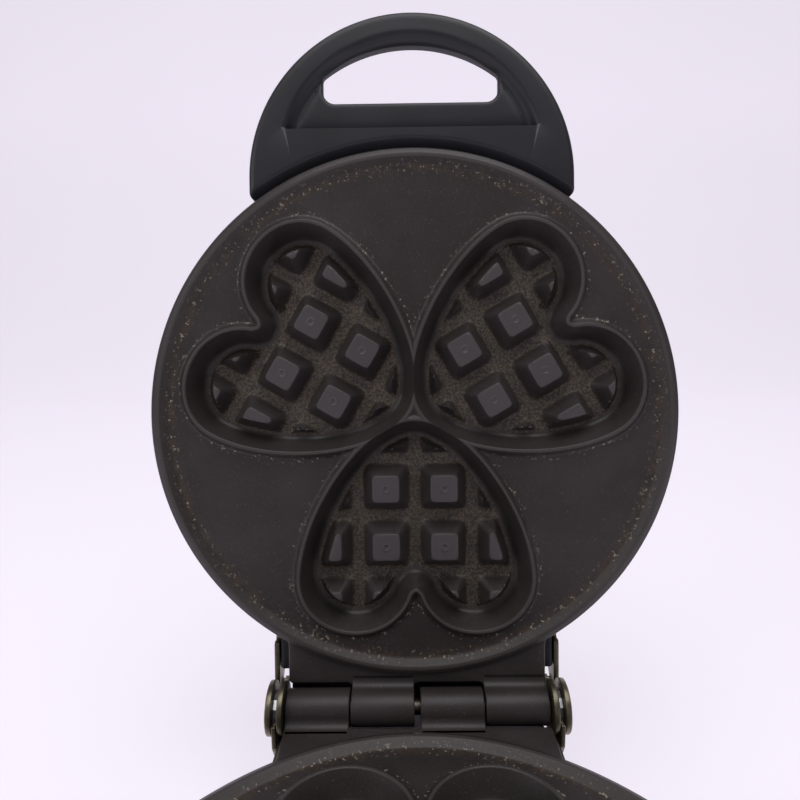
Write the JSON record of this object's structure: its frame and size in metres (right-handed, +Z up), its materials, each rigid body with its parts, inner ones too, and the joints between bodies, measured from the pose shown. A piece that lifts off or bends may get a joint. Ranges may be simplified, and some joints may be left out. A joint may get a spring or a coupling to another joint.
{
  "type": "waffle maker",
  "caption": "Round electric waffle maker, open, with heart-shaped studded moulds in both plates, D-shaped finger grips and a knuckle hinge at the back.",
  "frame": {"origin": "middle of the open machine's outline, on the surface that it stands on", "axes": "+Z up, +X along the hinge pin to the right as the user faces the open plates, +Y away from the user, from the lower grip towards the hinge"},
  "size_m": [0.2096, 0.3526, 0.3293],
  "materials": {
    "non_stick_coating": "dark non-stick coating with a fine sparkle on cast aluminium",
    "housing_plastic": "satin black moulded housing",
    "handle_phenolic": "satin blue-black moulded grip",
    "passivated_steel": "yellow-passivated zinc plate, stained",
    "zinc_steel": "bright zinc plate",
    "heat_sheet_steel": "heat-dulled sheet steel",
    "black_rubber": "matt rubber",
    "ceramic": "unglazed ceramic",
    "red_lens": "clear red lens",
    "green_lens": "clear green lens",
    "glass_braid": "woven glass-fibre sleeve"
  },
  "bodies": {
    "base": {"base_plate": "non_stick_coating", "base_handle": "handle_phenolic", "base_element": "heat_sheet_steel", "base_reflector": "heat_sheet_steel", "base_shell_screw_1": "zinc_steel", "base_shell_screw_2": "zinc_steel", "base_shell_screw_3": "zinc_steel", "base_arm_left": "passivated_steel", "base_arm_right": "passivated_steel", "base_arm_screw_left": "zinc_steel", "base_arm_screw_right": "zinc_steel", "base_handle_screw_left": "zinc_steel", "base_handle_screw_right": "zinc_steel", "base_shell": "housing_plastic", "hinge_pin": "zinc_steel", "lid_stop_left": "passivated_steel", "lid_stop_right": "passivated_steel", "hinge_washer_left": "zinc_steel", "hinge_washer_right": "zinc_steel", "foot_1": "black_rubber", "foot_2": "black_rubber", "foot_3": "black_rubber", "foot_4": "black_rubber", "cord_gland": "black_rubber", "base_grommet": "black_rubber", "terminal_block": "ceramic", "thermal_fuse": "ceramic", "lid_lead": "glass_braid"},
    "lid": {"lid_plate": "non_stick_coating", "lid_handle": "handle_phenolic", "lid_element": "heat_sheet_steel", "lid_reflector": "heat_sheet_steel", "lid_shell_screw_1": "zinc_steel", "lid_shell_screw_2": "zinc_steel", "lid_shell_screw_3": "zinc_steel", "lid_arm_left": "passivated_steel", "lid_arm_right": "passivated_steel", "lid_arm_screw_left": "zinc_steel", "lid_arm_screw_right": "zinc_steel", "lid_handle_screw_left": "zinc_steel", "lid_handle_screw_right": "zinc_steel", "lid_shell": "housing_plastic", "lid_grommet": "black_rubber", "thermostat": "zinc_steel", "power_lamp": "red_lens", "ready_lamp": "green_lens"},
    "knob": {"thermostat_knob": "handle_phenolic", "thermostat_shaft": "zinc_steel"}
  },
  "joints": [
    {"name": "lid_hinge", "type": "hinge", "parent": "base", "child": "lid", "pos_m": [0, 0.09823, 0.058], "axis": [1, 0, 0], "range_deg": [0, 98], "deforming": ["lid_lead"]},
    {"name": "thermostat_turn", "type": "hinge", "parent": "lid", "child": "knob", "pos_m": [0, 0.15955, 0.21701], "axis": [0, -0.9903, 0.1392], "range_deg": [0, 270]}
  ]
}
